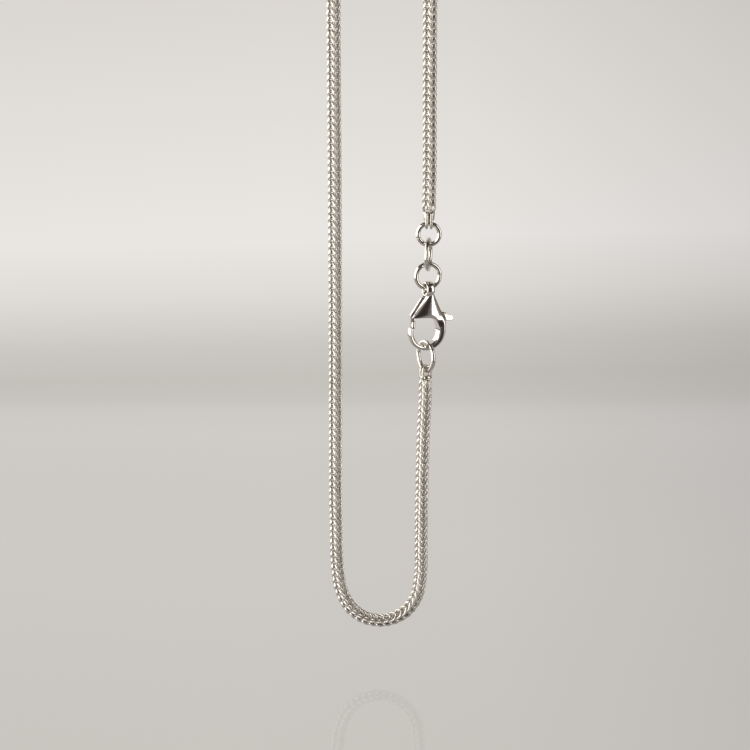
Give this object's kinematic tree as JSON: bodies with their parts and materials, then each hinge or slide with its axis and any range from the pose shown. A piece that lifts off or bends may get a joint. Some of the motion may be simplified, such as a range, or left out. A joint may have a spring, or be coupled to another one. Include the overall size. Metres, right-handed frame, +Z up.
{
  "type": "foxtail chain necklace",
  "caption": "Square foxtail neck chain hanging as a long closed loop, with round link rings and a sprung lobster clasp.",
  "frame": {"origin": "under the crown of the top bend, where the inner edge of the chain lies on what it hangs from", "axes": "+Z up along the hanging loop, +X across the loop towards the strand with the clasp, -Y towards the front"},
  "size_m": [0.0201, 0.0052, 0.219],
  "materials": {
    "chain_silver": "bright rhodium-plated silver wire",
    "ring_silver": "polished rhodium-plated silver",
    "clasp_silver": "polished rhodium-plated silver",
    "solder_silver": "satin soldered silver",
    "pin_steel": "plain drawn steel"
  },
  "bodies": {
    "necklace": {"foxtail_chain": "chain_silver", "chain_end_upper": "solder_silver", "chain_end_lower": "solder_silver", "jump_ring_upper": "ring_silver", "link_ring_middle": "ring_silver", "clasp_ring": "ring_silver", "clasp_body": "clasp_silver", "clasp_pin": "pin_steel", "link_ring_lower": "ring_silver"},
    "trigger": {"clasp_trigger": "clasp_silver"}
  },
  "joints": [
    {"name": "clasp_trigger_hinge", "type": "hinge", "parent": "necklace", "child": "trigger", "pos_m": [0.00611, -0.00053, -0.1647], "axis": [0.4067, -0.9135, 0], "range_deg": [0, 24], "stiffness_Nm_per_rad": 0.004, "springref_deg": -20.05}
  ]
}
